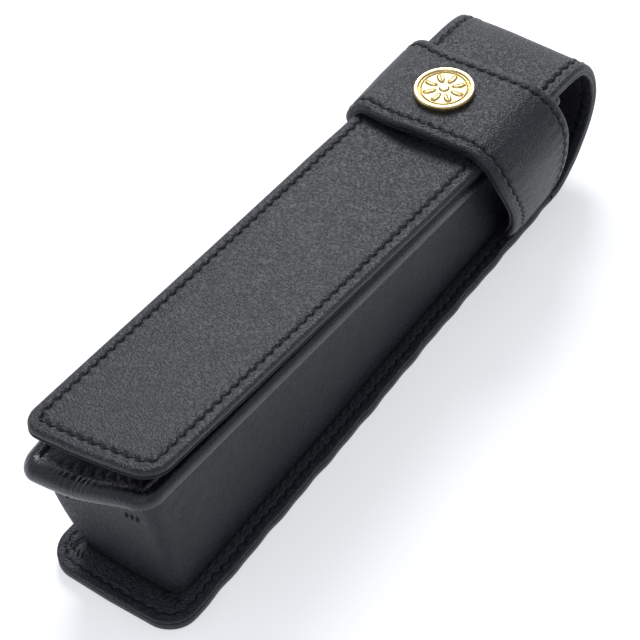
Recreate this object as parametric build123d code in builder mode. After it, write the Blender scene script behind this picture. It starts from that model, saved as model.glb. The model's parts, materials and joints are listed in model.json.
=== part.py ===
from build123d import *
from math import atan2, cos, degrees, hypot, radians, sin, tan
import os

# Leather case for one fountain pen, lying on its back with the flap tucked under the keeper band.
# X runs from the closed near end to the mouth and the fold, Y across the case, and Z up.
# The origin is on the resting face, midway between the near lip and the outside of the fold.

# ---- driving dimensions, in millimetres and degrees ----
case_length = 171.5
strip_width = 36.0        # the fold and the flap
flange_width = 37.0       # the back panel with its sewn margin
pouch_width = 26.8        # outside of the gusset walls
lip_width = 35.4          # outside of the bound edge of the front panel
mouth_x = 65.5            # where the back panel and the gusset stop
front_mouth_x = 67.2      # where the front panel stops

hide = 1.3                # one layer of the strip or of the band
board = 0.7               # stiffening board
board_inset = 1.0         # board back from the turned edge
wall = 1.0                # gusset leather
lining = 0.5              # lining inside the pouch
strip = 2 * hide          # outer leather and lining of the strip
seam_inset = 2.6          # rows of stitches from the turned edges

near_lip_height = 36.4    # underside of the bound edge, above the near end of the flap
front_slope = 4.11        # fall of the front panel towards the mouth
lip_height = 4.6          # bound edge, top to bottom
lip_lap = 1.9             # how far the binding laps over the panel
binding_reach = 2.3       # from the bound edge in to the panel's own edge
lip_crown = 1.6           # bow of the front panel's near end
flap_crown = 0.8          # bow of the flap's near end
panel_board_depth = 0.6   # board inside the front panel
panel_leather_depth = 1.1
flap_gap = 0.5            # flap above the bound edge, under the band
near_flap_height = 44.4   # underside of the flap at its near end
hinge_x = 15.2            # where the flap bends when its near end is lifted
body_gap = 0.3            # between pieces that part when the flap moves

band_near_x = 35.2
band_far_x = 61.8
band_foot_near_x = 47.0
band_top = 39.8
band_flat = 13.3          # half of the level stretch of the band
band_shoulder = 12.0      # outer radius of the band's shoulders
band_foot_y = 17.0

button_radius = 7.0
button_thickness = 1.1
relief = 0.4              # rim and petals above the button's face
post_radius = 1.5
washer_radius = 4.0
washer_thickness = 0.5

fold_upper_radius = 11.0
fold_lower_radius = case_length / 2 - mouth_x - 0.5

stitch_length = 2.0
stitch_width = 0.5
stitch_height = 0.25
stitch_pitch = 2.9

# ---- corner radii seen from above, and rounded edges ----
flange_corner = 6.0
board_corner = 5.0
wall_corner = 3.0
inner_corner = 2.0        # inside the walls, and at the panel's own edge
lining_corner = 1.5
lip_corner = 4.3
lap_corner = 1.0
flap_corner = 5.0
turned_edge = 0.5
flange_edge = 0.4
roll_edge = 2.0
hem_edge = 1.2
button_edge = 0.35
band_edge_corner = 10.0   # where the band's near edge turns back towards the feet

# ---- rows of stitches: how far in they run, and their corner radii ----
flange_seam_inset = 2.0
flange_seam_corner = 4.0
front_seam_inset = 5.0
front_seam_corner = 3.0
flap_seam_corner = 3.5
band_foot_clear = 2.0     # the flange's row stops this far from the band's feet

# ---- worked-out sizes ----
near_x = -case_length / 2
fold_x = case_length / 2
flange_near_x = near_x + 1.8
flap_near_x = near_x + 3.0
wall_near_x = near_x + 9.7
board_top = hide + board
flange_top = board_top + wall
slope_ratio = tan(radians(front_slope))

front_plane = Plane(
    origin=(flap_near_x, 0, near_lip_height),
    x_dir=(cos(radians(front_slope)), 0, -sin(radians(front_slope))),
    z_dir=(sin(radians(front_slope)), 0, cos(radians(front_slope))),
)
# Heights in the front panel's own layers, from the underside of the bound edge.
tuck_bottom = 0.6
panel_bottom = tuck_bottom + wall
panel_board = panel_bottom + lining
panel_leather = panel_board + panel_board_depth
panel_top = panel_leather + panel_leather_depth


def along_front(x):
    """Distance along the front panel's own plane for a place along the case."""
    return (x - flap_near_x) / cos(radians(front_slope))


def front_height(x, above):
    """Height over the resting face of a layer of the front panel, or of the flap over it."""
    return near_lip_height - (x - flap_near_x) * slope_ratio + above / cos(radians(front_slope))


panel_near = along_front(near_x) + binding_reach
panel_half = lip_width / 2 - binding_reach
flap_bottom = lip_height + flap_gap
hinge_z = front_height(hinge_x, flap_bottom + strip)
flap_angle = degrees(atan2(
    near_flap_height - front_height(hinge_x, flap_bottom), hinge_x - flap_near_x))
flap_length = hypot(
    near_flap_height - front_height(hinge_x, flap_bottom), hinge_x - flap_near_x)

os.makedirs("parts", exist_ok=True)


def finish(builder, name):
    """Label a finished piece and write it."""
    builder.part.label = name
    export_step(builder.part, f"parts/{name}.step")


class Tongue(BaseSketchObject):
    """Face with a square far end and a rounded near end that may bow out by crown."""

    def __init__(self, near, far, half_width, corner, crown=0.0, mode=Mode.ADD):
        with BuildSketch() as outline:
            with BuildLine():
                Line((near + crown, half_width), (far, half_width))
                Line((far, half_width), (far, -half_width))
                Line((far, -half_width), (near + crown, -half_width))
                if crown:
                    ThreePointArc((near + crown, -half_width), (near, 0), (near + crown, half_width))
                else:
                    Line((near, -half_width), (near, half_width))
            make_face()
            fillet(outline.vertices().sort_by(Axis.X)[0:2], corner)
        super().__init__(outline.sketch, rotation=0, align=None, mode=mode)


# ---- back panel ----
with BuildPart() as back_leather:
    with BuildSketch(Plane.XY):
        Tongue(flange_near_x, mouth_x, flange_width / 2, flange_corner)
    extrude(amount=hide)
    fillet(back_leather.faces().sort_by(Axis.Z)[0].edges().sort_by(Axis.X)[:-1], turned_edge)
finish(back_leather, "back_panel_leather")

with BuildPart() as back_board:
    with BuildSketch(Plane.XY.offset(hide)):
        Tongue(flange_near_x + board_inset, mouth_x, flange_width / 2 - board_inset, board_corner)
    extrude(amount=board)
finish(back_board, "back_panel_board")

with BuildPart() as back_lining:
    with BuildSketch(Plane.XY.offset(board_top)):
        Tongue(wall_near_x + wall, mouth_x, pouch_width / 2 - wall, inner_corner)
    extrude(amount=lining)
finish(back_lining, "back_panel_lining")

# ---- gusset: one strip round three sides, turned out at the base and under the front panel ----
roof_height = near_lip_height + lip_height

with BuildPart() as gusset_leather:
    with BuildSketch(Plane.XY.offset(board_top)):
        Tongue(flange_near_x, mouth_x, flange_width / 2, flange_corner)
    extrude(amount=wall)
    fillet(gusset_leather.faces().sort_by(Axis.Z)[-1].edges().sort_by(Axis.X)[:-1], flange_edge)
    with BuildSketch(Plane.XY.offset(board_top)):
        Tongue(wall_near_x, mouth_x, pouch_width / 2, wall_corner)
    extrude(amount=roof_height)
    split(bisect_by=front_plane.offset(tuck_bottom + wall / 2), keep=Keep.BOTTOM)
    with BuildSketch(front_plane.offset(tuck_bottom)):
        Tongue(panel_near, along_front(mouth_x), panel_half, inner_corner, crown=lip_crown)
    extrude(amount=wall)
    with BuildSketch(Plane.XY):
        Tongue(wall_near_x + wall, fold_x, pouch_width / 2 - wall, inner_corner)
    extrude(amount=2 * roof_height, mode=Mode.SUBTRACT)
finish(gusset_leather, "gusset_leather")

with BuildPart() as gusset_lining:
    with BuildSketch(Plane.XY.offset(board_top + lining)):
        Tongue(wall_near_x + wall, mouth_x, pouch_width / 2 - wall, inner_corner)
    extrude(amount=roof_height)
    split(bisect_by=front_plane.offset(panel_bottom), keep=Keep.BOTTOM)
    with BuildSketch(Plane.XY):
        Tongue(wall_near_x + wall + lining, fold_x, pouch_width / 2 - wall - lining, lining_corner)
    extrude(amount=2 * roof_height, mode=Mode.SUBTRACT)
finish(gusset_lining, "gusset_lining")

# ---- front panel: three layers inside a bound edge ----
panel_layers = {
    "front_panel_lining": (panel_bottom, panel_board),
    "front_panel_board": (panel_board, panel_leather),
    "front_panel_leather": (panel_leather, panel_top),
}
for layer_name, (bottom, top) in panel_layers.items():
    with BuildPart() as panel_layer:
        with BuildSketch(front_plane.offset(bottom)):
            Tongue(panel_near, along_front(mouth_x), panel_half, inner_corner, crown=lip_crown)
        extrude(amount=top - bottom)
    finish(panel_layer, layer_name)

with BuildPart() as edge_binding:
    with BuildSketch(front_plane):
        Tongue(along_front(near_x), along_front(mouth_x), lip_width / 2, lip_corner, crown=lip_crown)
    extrude(amount=lip_height)
    rims = edge_binding.faces().filter_by(Axis(front_plane.origin, front_plane.z_dir))
    fillet([edge for rim in rims for edge in rim.edges().sort_by(Axis.X)[:-1]], roll_edge)
    with BuildSketch(front_plane):
        Tongue(panel_near + lip_lap, along_front(fold_x), panel_half - lip_lap, lap_corner, crown=lip_crown)
    extrude(amount=lip_height, mode=Mode.SUBTRACT)
    with BuildSketch(front_plane.offset(tuck_bottom)):
        Tongue(panel_near, along_front(fold_x), panel_half, inner_corner, crown=lip_crown)
    extrude(amount=panel_top - tuck_bottom, mode=Mode.SUBTRACT)
finish(edge_binding, "front_edge_binding")

# ---- hem round the front panel's mouth edge ----
hem_lap = 3.0
hem_skin = 0.6
with BuildPart() as mouth_hem:
    with BuildSketch(front_plane.offset(panel_bottom - hem_skin)):
        with Locations((along_front(mouth_x) - hem_lap, 0)):
            Rectangle(
                along_front(front_mouth_x) - along_front(mouth_x) + hem_lap,
                pouch_width - 2 * wall - 2 * lining - 0.2,
                align=(Align.MIN, Align.CENTER))
    extrude(amount=panel_top - panel_bottom + 2 * hem_skin)
    fillet(mouth_hem.faces().sort_by(Axis.X)[-1].edges().filter_by(Axis.Y), hem_edge)
    with BuildSketch(front_plane.offset(panel_bottom)):
        with Locations((along_front(mouth_x), 0)):
            Rectangle(2 * hem_lap, pouch_width, align=(Align.MAX, Align.CENTER))
    extrude(amount=panel_top - panel_bottom, mode=Mode.SUBTRACT)
finish(mouth_hem, "front_mouth_hem")

# ---- keeper band: a level top, round shoulders and sides that draw in to the sewn feet ----
shoulder_z = band_top - band_shoulder
side_draw = band_flat + band_shoulder - band_foot_y
side_turn = 2 * degrees(atan2(side_draw, shoulder_z - flange_top))
side_radius = (shoulder_z - flange_top) / sin(radians(side_turn))
foot_overrun = 3.0        # degrees of arc below the flange, cut off level


class BandArch(BaseSketchObject):
    """Cross-section of one layer of the band, between two depths below its outer face."""

    def __init__(self, outer, inner, mode=Mode.ADD):
        with BuildSketch() as arch:
            with BuildLine():
                crowns = []
                feet = []
                for depth in (outer, inner):
                    top = Line((0, band_top - depth), (band_flat, band_top - depth))
                    shoulder = JernArc(top @ 1, (1, 0), band_shoulder - depth, -90)
                    side = JernArc(shoulder @ 1, (0, -1), side_radius - depth, -side_turn - foot_overrun)
                    crowns.append(top @ 0)
                    feet.append(side @ 1)
                Line(*crowns)
                Line(*feet)
            make_face()
            mirror(about=Plane.YZ)
        super().__init__(arch.sketch, rotation=0, align=None, mode=mode)


def band_near_edge(z):
    """Place along the case of the band's near edge, which slants back to the feet."""
    return band_near_x + (band_foot_near_x - band_near_x) * max(
        0, (shoulder_z - z) / (shoulder_z - flange_top))


def band_layer(outer, inner):
    """One layer of the band, cut to its tapered side outline."""
    with BuildPart() as layer:
        with BuildSketch(Plane.YZ.offset(band_near_x)):
            BandArch(outer, inner)
        extrude(amount=band_far_x - band_near_x)
        with BuildSketch(Plane.XZ) as side_outline:
            with BuildLine():
                Polyline(
                    (band_near_x, band_top + 1), (band_far_x, band_top + 1), (band_far_x, 0),
                    (band_near_edge(0), 0), (band_near_x, shoulder_z), close=True)
            make_face()
            fillet(side_outline.vertices().sort_by(Axis.X)[:2].sort_by(Axis.Y)[0], band_edge_corner)
        extrude(amount=flange_width, both=True, mode=Mode.INTERSECT)
        split(bisect_by=Plane.XY.offset(flange_top), keep=Keep.TOP)
    return layer.part


band_middle_x = (band_near_x + band_far_x) / 2
leather_underside = band_top - hide

with BuildPart() as band_leather:
    add(band_layer(0, hide))
    with Locations((band_middle_x, 0, band_top)):
        Hole(post_radius + 0.1, depth=hide)
finish(band_leather, "keeper_band_leather")

with BuildPart() as band_lining:
    add(band_layer(hide, strip))
    with Locations((band_middle_x, 0, leather_underside)):
        Hole(washer_radius + 0.1, depth=washer_thickness)
finish(band_lining, "keeper_band_lining")

# ---- button: a stamped disc with a rim and a plain rosette, on a riveted post ----
petals = 8
rim_width = 0.8
boss_radius = 1.2
petal_radius = 3.5        # from the centre to the middle of a petal
with BuildPart() as button_cap:
    with BuildSketch(Plane.XY.offset(band_top)):
        with Locations((band_middle_x, 0)):
            Circle(button_radius)
    extrude(amount=button_thickness)
    with BuildSketch(Plane.XY.offset(band_top + button_thickness)):
        with Locations((band_middle_x, 0)):
            Circle(button_radius)
            Circle(button_radius - rim_width, mode=Mode.SUBTRACT)
            Circle(boss_radius)
            with PolarLocations(petal_radius, petals):
                Ellipse(1.7, 0.75)
    extrude(amount=relief)
    fillet(button_cap.faces().sort_by(Axis.Z)[0].edges(), button_edge)
finish(button_cap, "button_cap")

with BuildPart() as button_post:
    with Locations((band_middle_x, 0, leather_underside - washer_thickness)):
        Cylinder(post_radius, hide + washer_thickness, align=(Align.CENTER, Align.CENTER, Align.MIN))
finish(button_post, "button_post")

with BuildPart() as button_washer:
    with Locations((band_middle_x, 0, leather_underside - washer_thickness)):
        Cylinder(washer_radius, washer_thickness, align=(Align.CENTER, Align.CENTER, Align.MIN))
        Cylinder(post_radius, washer_thickness, align=(Align.CENTER, Align.CENTER, Align.MIN),
                 mode=Mode.SUBTRACT)
finish(button_washer, "button_washer")

# ---- the strip past the mouth: the fold, then the flap ----
fold_low_x = fold_x - fold_lower_radius
fold_high_x = fold_x - fold_upper_radius
fold_high_z = front_height(fold_high_x, flap_bottom + strip) - fold_upper_radius / cos(radians(front_slope))
fold_top_x = fold_high_x + fold_upper_radius * sin(radians(front_slope))
fold_start_x = mouth_x + body_gap


class FoldLayer(BaseSketchObject):
    """Side view of one layer of the fold, between two depths below its outer face."""

    def __init__(self, outer, inner, mode=Mode.ADD):
        with BuildSketch() as layer:
            with BuildLine():
                starts = []
                ends = []
                for depth in (outer, inner):
                    base = Line((fold_start_x, depth), (fold_low_x, depth))
                    lower = JernArc(base @ 1, (1, 0), fold_lower_radius - depth, 90)
                    rise = Line(lower @ 1, (fold_x - depth, fold_high_z))
                    upper = JernArc(rise @ 1, (0, 1), fold_upper_radius - depth, 90 - front_slope)
                    starts.append(base @ 0)
                    ends.append(upper @ 1)
                Line(*starts)
                Line(*ends)
            make_face()
        super().__init__(layer.sketch, rotation=0, align=None, mode=mode)


strip_layers = {"leather": (0, hide), "lining": (hide, strip)}
flap_plane = Plane(
    origin=(hinge_x, 0, hinge_z),
    x_dir=(cos(radians(flap_angle)), 0, -sin(radians(flap_angle))),
    z_dir=(sin(radians(flap_angle)), 0, cos(radians(flap_angle))),
)
rear_plane = front_plane.offset(flap_bottom + strip)
hinge_along = along_front(hinge_x) - (flap_bottom + strip) * slope_ratio
fold_along = along_front(fold_top_x) - (flap_bottom + strip) * slope_ratio

for layer_name, (outer, inner) in strip_layers.items():
    with BuildPart() as fold_piece:
        with BuildSketch(Plane.XZ):
            FoldLayer(outer, inner)
        extrude(amount=strip_width / 2, both=True)
    finish(fold_piece, f"fold_{layer_name}")

    with BuildPart() as rear_piece:
        with BuildSketch(rear_plane.offset(-inner)):
            with Locations((hinge_along + body_gap / 2, 0)):
                Rectangle(fold_along - hinge_along - body_gap / 2, strip_width,
                          align=(Align.MIN, Align.CENTER))
        extrude(amount=inner - outer)
    finish(rear_piece, f"flap_rear_{layer_name}")

    with BuildPart() as front_piece:
        with BuildSketch(flap_plane.offset(-inner)):
            Tongue(-flap_length, -body_gap / 2, strip_width / 2, flap_corner, crown=flap_crown)
        extrude(amount=inner - outer)
    finish(front_piece, f"flap_front_{layer_name}")


# ---- stitches: separate short bars lying on the surface they are sewn through ----
def along_path(path, up=None, around=None):
    """Planes of the stitches along a path, facing up, or outwards round a curve's axis."""
    count = round(path.length / stitch_pitch)
    planes = []
    for index in range(count):
        place = (index + 0.5) / count
        tangent = path % place
        outward = up if up else around.cross(tangent)
        planes.append(Plane(origin=path @ place, x_dir=tangent, z_dir=outward))
    return planes


def sew(planes, name, length=stitch_length):
    """Lay one stitch on each plane."""
    with BuildPart() as thread:
        with Locations(*planes):
            Box(length, stitch_width, stitch_height, align=(Align.CENTER, Align.CENTER, Align.MIN))
    finish(thread, name)


def seam(plane, near, far, half_width, corner):
    """Path of a row of stitches round the near end of a panel."""
    with BuildLine(plane) as row:
        FilletPolyline(
            (far, -half_width), (near, -half_width), (near, half_width), (far, half_width),
            radius=corner)
    return row.wire()


flange_row = along_path(
    seam(Plane.XY.offset(flange_top), flange_near_x + flange_seam_inset, mouth_x - 5,
         flange_width / 2 - flange_seam_inset, flange_seam_corner),
    up=Vector(0, 0, 1))
band_foot_span = (band_foot_near_x - band_foot_clear, band_far_x + band_foot_clear)
sew([plane for plane in flange_row
     if not band_foot_span[0] < plane.origin.X < band_foot_span[1]], "flange_stitches")

sew(along_path(
    seam(front_plane.offset(panel_top), along_front(near_x) + front_seam_inset + 0.6,
         along_front(mouth_x) - 4, lip_width / 2 - front_seam_inset, front_seam_corner),
    up=front_plane.z_dir), "front_panel_stitches")

sew(along_path(
    seam(flap_plane, -flap_length + seam_inset + flap_crown, -1.5, strip_width / 2 - seam_inset,
         flap_seam_corner),
    up=flap_plane.z_dir), "flap_front_stitches")

fold_rows = []
for side in (-1, 1):
    with BuildLine(Plane.XZ.offset(side * (strip_width / 2 - seam_inset))) as fold_row:
        low_arc = CenterArc((fold_low_x, fold_lower_radius), fold_lower_radius, -60, 60)
        riser = Line(low_arc @ 1, (fold_x, fold_high_z))
        high_arc = JernArc(riser @ 1, (0, 1), fold_upper_radius, 90 - front_slope)
        Line(high_arc @ 1, (hinge_x + 2, front_height(hinge_x + 2, flap_bottom + strip)))
    fold_rows += along_path(fold_row.wire(), around=Vector(0, 1, 0))
sew(fold_rows, "fold_stitches")

band_rows = []
for side in (-1, 1):
    with BuildLine(Plane.YZ) as arch_row:
        crown = Line((0, band_top), (side * band_flat, band_top))
        shoulder = JernArc(crown @ 1, (side, 0), band_shoulder, -side * 90)
        JernArc(shoulder @ 1, (0, -1), side_radius, -side * (side_turn - 2))
    for plane in along_path(arch_row.wire(), around=Vector(side, 0, 0)):
        near_row = Vector(band_near_edge(plane.origin.Z) + seam_inset, 0, 0)
        far_row = Vector(band_far_x - seam_inset + 0.6, 0, 0)
        band_rows += [
            Plane(origin=plane.origin + row, x_dir=plane.x_dir, z_dir=plane.z_dir)
            for row in (near_row, far_row)]
sew(band_rows, "band_stitches")


# ---- bar tacks: short stitches side by side, where the seams end or turn a corner ----
def bar_tack(centre, step, stitch_dir, up, count):
    """Planes of a few parallel stitches, stepped sideways."""
    return [
        Plane(origin=Vector(*centre) + Vector(*step) * (index - (count - 1) / 2),
              x_dir=stitch_dir, z_dir=up)
        for index in range(count)]


flange_tacks = []
front_tacks = []
mouth_tacks = []
for side in (-1, 1):
    flange_tacks += bar_tack(
        (wall_near_x - 2.2, side * (pouch_width / 2 - 3), flange_top), (0, 1.2, 0), (1, side * 0.3, 0),
        (0, 0, 1), 4)
    front_tacks += bar_tack(
        (wall_near_x, side * (pouch_width / 2 - 4.5), near_lip_height - 2.2), (0, 1.2, 0), (0, 0, 1),
        (-1, 0, 0), 3)
    mouth_tacks += bar_tack(
        (mouth_x - 1.7, side * (pouch_width + flange_width) / 4, flange_top), (1.0, 0, 0), (0, 1, 0),
        (0, 0, 1), 3)
sew(flange_tacks, "flange_bar_tacks", length=2.6)
sew(front_tacks, "front_bar_tacks")
sew(mouth_tacks, "mouth_bar_tacks", length=3.0)
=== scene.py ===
"""Leather case for one fountain pen: soft pieces, finishes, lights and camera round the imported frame."""
import json
from math import atan2, pi, radians

import bmesh
import bpy
import numpy as np
from mathutils import Matrix, Vector, noise
from mathutils.bvhtree import BVHTree


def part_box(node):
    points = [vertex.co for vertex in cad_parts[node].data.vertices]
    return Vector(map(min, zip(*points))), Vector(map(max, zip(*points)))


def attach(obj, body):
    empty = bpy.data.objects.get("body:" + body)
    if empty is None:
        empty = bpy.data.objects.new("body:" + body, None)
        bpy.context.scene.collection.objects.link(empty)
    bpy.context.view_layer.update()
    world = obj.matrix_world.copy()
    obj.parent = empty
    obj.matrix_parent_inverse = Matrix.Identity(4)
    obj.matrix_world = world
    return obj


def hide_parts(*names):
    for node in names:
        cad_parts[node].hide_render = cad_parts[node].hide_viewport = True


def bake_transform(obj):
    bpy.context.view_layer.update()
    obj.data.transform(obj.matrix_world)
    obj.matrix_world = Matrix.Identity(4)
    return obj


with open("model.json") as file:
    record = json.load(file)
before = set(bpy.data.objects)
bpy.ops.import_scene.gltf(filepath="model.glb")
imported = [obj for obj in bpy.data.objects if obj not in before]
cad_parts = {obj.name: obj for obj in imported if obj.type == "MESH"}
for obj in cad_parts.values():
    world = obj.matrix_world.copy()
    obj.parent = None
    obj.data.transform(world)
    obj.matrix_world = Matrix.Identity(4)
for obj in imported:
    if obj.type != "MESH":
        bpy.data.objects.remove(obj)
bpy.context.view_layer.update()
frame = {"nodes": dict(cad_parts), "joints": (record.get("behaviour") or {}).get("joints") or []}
MM = 0.001


# ---- sizes read from the frame, in millimetres ----
def node_box(node):
    """Lowest and highest corner of a CAD node."""
    low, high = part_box(node)
    return np.array(low) / MM, np.array(high) / MM


def joint_named(name):
    """A joint's entry in the record."""
    return next(joint for joint in frame["joints"] if joint["name"] == name)


slide_axis = joint_named("flap_slide")["axis"]
slope = atan2(-slide_axis[2], slide_axis[0])
hinge_x, _, hinge_z = (value / MM for value in joint_named("flap_lift")["pos_m"])

base_low, base_high = node_box("back_panel_leather")
pocket_low, pocket_high = node_box("gusset_lining")
lip_low, lip_high = node_box("front_edge_binding")
_, hem_high = node_box("front_mouth_hem")
_, strip_high = node_box("fold_leather")
band_low, band_high = node_box("keeper_band_leather")
flap_low, flap_high = node_box("flap_front_leather")
button_low, button_high = node_box("button_cap")

# ---- sizes of the leather work, in millimetres ----
strip_thick = 2.6  # leather and lining of the strip and of the band
wall = 1.0
lining = 0.5
base_top = 2.0  # back panel with its board
flange_top = 3.0
panel_face = 3.7  # the front panel's face over the underside of its bound edge
flap_top = 7.7  # the flap's top over the same underside, at the hinge
flap_seam_x = 41.0  # under the band, where the fold and the flap are parted
roll_radius = 2.3  # of the front panel's bound edge
base_corner = 7.0
lip_corner = 4.6
flap_corner = 5.2
pitch = 2.9  # from stitch to stitch
stitch_length = 2.2
stitch_radius = 0.245
stitch_sink = 0.2  # how deep the middle line of a stitch lies
gold_relief = 0.4  # height of the button's rosette and rim
twist = 2.4  # rise of the right side of the near end, and fall of its left side
twist_end_x = 55.0
twist_curve = 1.1  # the twist grows a little faster towards the near end
left_twist = 1.05  # the left side falls this much further than the right side rises
tuck_depth = 0.7  # how far the band holds down the strip's left edge
bow_reach = 9.0  # length of a near end over which it is bowed

strip_half = strip_high[1]
flange_half = base_high[1]
flange_near = base_low[0]
mouth_x = base_high[0]
wall_half = pocket_high[1] + wall
wall_near = pocket_low[0] - wall
lip_half = lip_high[1]
lip_near = lip_low[0]
flap_near = flap_low[0]


# ---- number helpers ----
def smooth_step(value):
    """Smooth rise from 0 to 1."""
    value = np.clip(value, 0.0, 1.0)
    return value * value * (3 - 2 * value)


def fade(value, start, run):
    """Smooth rise from 0 at start to 1 one run further on. A negative run rises the other way."""
    return smooth_step((value - start) / run)


def hump(value, centre, width):
    """Smooth hump of height 1."""
    return np.exp(-((value - centre) / width) ** 2)


def ramp(value, width):
    """Zero below zero and the value itself above, with a soft corner."""
    return width * np.logaddexp(0.0, value / width)


seed_steps = (17.3, 5.1, 9.7)  # how far apart the noise of two seeds lies


def crumple(points, size, seed):
    """Smooth random values from -1 to 1 at points, with lumps of the given size."""
    shift = Vector([seed * step for step in seed_steps])
    flat = points.reshape(-1, 3) / size
    values = [noise.noise(Vector(point) + shift) for point in flat]
    return np.array(values).reshape(points.shape[:-1])


def run_length(path):
    """Distance along a line of points, from its start."""
    steps = np.linalg.norm(np.diff(path, axis=0), axis=1)
    return np.concatenate([[0.0], np.cumsum(steps)])


def resample(path, count):
    """Points evenly spaced along a line of points."""
    run = run_length(path)
    places = np.linspace(0, run[-1], count)
    return np.stack([np.interp(places, run, path[:, axis]) for axis in range(path.shape[1])], axis=-1)


def along(path, path_run, run, step=0.5):
    """Point and direction of a flat path at distances along it."""
    (u, v), (u0, v0), (u1, v1) = ([np.interp(place, path_run, path[:, axis]) for axis in (0, 1)]
                                  for place in (run, run - step, run + step))
    size = np.hypot(u1 - u0, v1 - v0)
    return u, v, (u1 - u0) / size, (v1 - v0) / size


def through(points, per_span=12):
    """Smooth curve through a few points."""
    points = np.array(points, float)
    padded = np.vstack([2 * points[0] - points[1], points, 2 * points[-1] - points[-2]])
    curve = []
    for a, b, c, d in zip(padded, padded[1:], padded[2:], padded[3:]):
        for t in np.linspace(0, 1, per_span, endpoint=False):
            curve.append(0.5 * (2 * b + (c - a) * t + (2 * a - 5 * b + 4 * c - d) * t * t
                                + (3 * b - a - 3 * c + d) * t ** 3))
    curve.append(points[-1])
    return np.array(curve)


# ---- where the surfaces lie ----
def lean(x, y):
    """Rise of the front where the case has twisted."""
    share = np.clip((twist_end_x - x) / (twist_end_x - flap_near), 0, 1.1)
    return -twist * share ** twist_curve * y / strip_half * np.where(y > 0, left_twist, 1.0)


def drawn_in(y, x=hinge_x):
    """The strip's left half is a little narrower than its right half, and less so at the near end."""
    left_share = 0.957 + 0.014 * fade(x, -20, -60)
    return np.where(y > 0, left_share * y, y)


def tucked(x, y):
    """Fall of the strip's left edge, which the band holds down."""
    return tuck_depth * fade(y, 5, 13) * fade(x, 15, 25)


def near_bow(x, y, near, half, depth):
    """How far a near end's middle stands forward of its corners."""
    return depth * (1 - np.clip(y / half, -1, 1) ** 2) * fade(x, near + bow_reach, -bow_reach)


def front_point(x, y, h):
    """Point h above the underside of the bound edge."""
    over = h - flap_top
    px = x + over * np.sin(slope)
    pz = hinge_z - (x - hinge_x) * np.tan(slope) + over * np.cos(slope) + lean(x, y)
    return np.stack([px, y + 0 * px, pz], axis=-1)


# ---- meshes ----
def clean(mesh, merge_mm):
    """Merge a mesh's doubled points and turn its faces outwards."""
    work = bmesh.new()
    work.from_mesh(mesh)
    bmesh.ops.remove_doubles(work, verts=work.verts, dist=merge_mm * MM)
    bmesh.ops.recalc_face_normals(work, faces=work.faces)
    work.to_mesh(mesh)
    work.free()


class Rows:
    """Rows of points, each point with a wear value (rubbing, and painted light) and a painted_shade value."""

    def __init__(self):
        self.points, self.wears, self.painted_shades = [], [], []

    def add(self, points, wear, painted_shade):
        self.points.append(points)
        self.wears.append(wear + np.zeros(len(points)))
        self.painted_shades.append(painted_shade + np.zeros(len(points)))


def mesh_object(name, rows, materials, closed, row_material=None):
    """Closed mesh lofted through rows, with flat ends."""
    grid = np.array(rows.points)
    count, length = grid.shape[:2]
    faces, slots = [], []
    for row in range(count if closed else count - 1):
        a = row * length
        b = (row + 1) % count * length
        for i in range(length - 1):
            faces.append((a + i, a + i + 1, b + i + 1, b + i))
            slots.append(row_material[row] if row_material else 0)
    for end in (0, length - 1):
        faces.append([row * length + end for row in range(count)])
        slots.append(0)
    mesh = bpy.data.meshes.new(name)
    mesh.from_pydata((grid.reshape(-1, 3) * MM).tolist(), [], faces)
    for label, values in (("wear", rows.wears), ("painted_shade", rows.painted_shades)):
        layer = mesh.attributes.new(label, "FLOAT", "POINT")
        layer.data.foreach_set("value", np.array(values, np.float32).ravel())
    mesh.polygons.foreach_set("material_index", np.array(slots, np.int32))
    clean(mesh, 0.01)
    return link(mesh, materials)


sharp_angle = 50  # an edge that turns more than this is drawn sharp, in degrees


def link(mesh, materials):
    """Object for a mesh, smooth shaded, in the scene."""
    mesh.shade_smooth()
    mesh.set_sharp_from_angle(angle=radians(sharp_angle))
    for material in materials:
        mesh.materials.append(material)
    thing = bpy.data.objects.new(mesh.name, mesh)
    bpy.context.scene.collection.objects.link(thing)
    return thing


def on_case(thing, slot, *nodes):
    """A piece that stays with the case and stands for some CAD nodes, which it hides. Its slot is not used.
    """
    if nodes:
        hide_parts(*nodes)
    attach(thing, "case")
    return thing


least_corner = 0.25  # a ring's corner is never sharper than this


class Outline:
    """Rounded near end and straight sides, with rings at any inset, all with the same number of points."""

    def __init__(self, near, far, half, corner, side_points=220, end_points=22):
        self.near, self.far, self.half, self.corner = near, far, half, corner
        self.side_points, self.end_points = side_points, end_points

    def ring(self, inset):
        """Points of the outline drawn in by an inset."""
        return self.loop(self.near + inset, self.half - inset, self.corner - inset)

    def loop(self, near, half, corner):
        """Points from the far end along the right side, round the near end and back."""
        half = max(half, 0.0)
        corner = min(max(corner, least_corner), half)
        share = np.linspace(0, 1, self.side_points, endpoint=False)
        turn = np.linspace(0, pi / 2, self.end_points // 2, endpoint=False)
        across = np.linspace(0, 1, self.end_points)
        x = np.concatenate([
            self.far + (near + corner - self.far) * share,
            near + corner - corner * np.sin(turn),
            np.full(self.end_points, near)])
        y = np.concatenate([
            np.full(self.side_points, -half),
            -half + corner - corner * np.cos(turn),
            (corner - half) * (1 - across)])
        return np.stack([np.concatenate([x, x[-2::-1]]), np.concatenate([y, -y[-2::-1]])], axis=-1)

    def distance(self, inset):
        """Distance along a ring from the middle of its near end."""
        run = run_length(self.ring(inset))
        return run - run[len(run) // 2]


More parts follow.
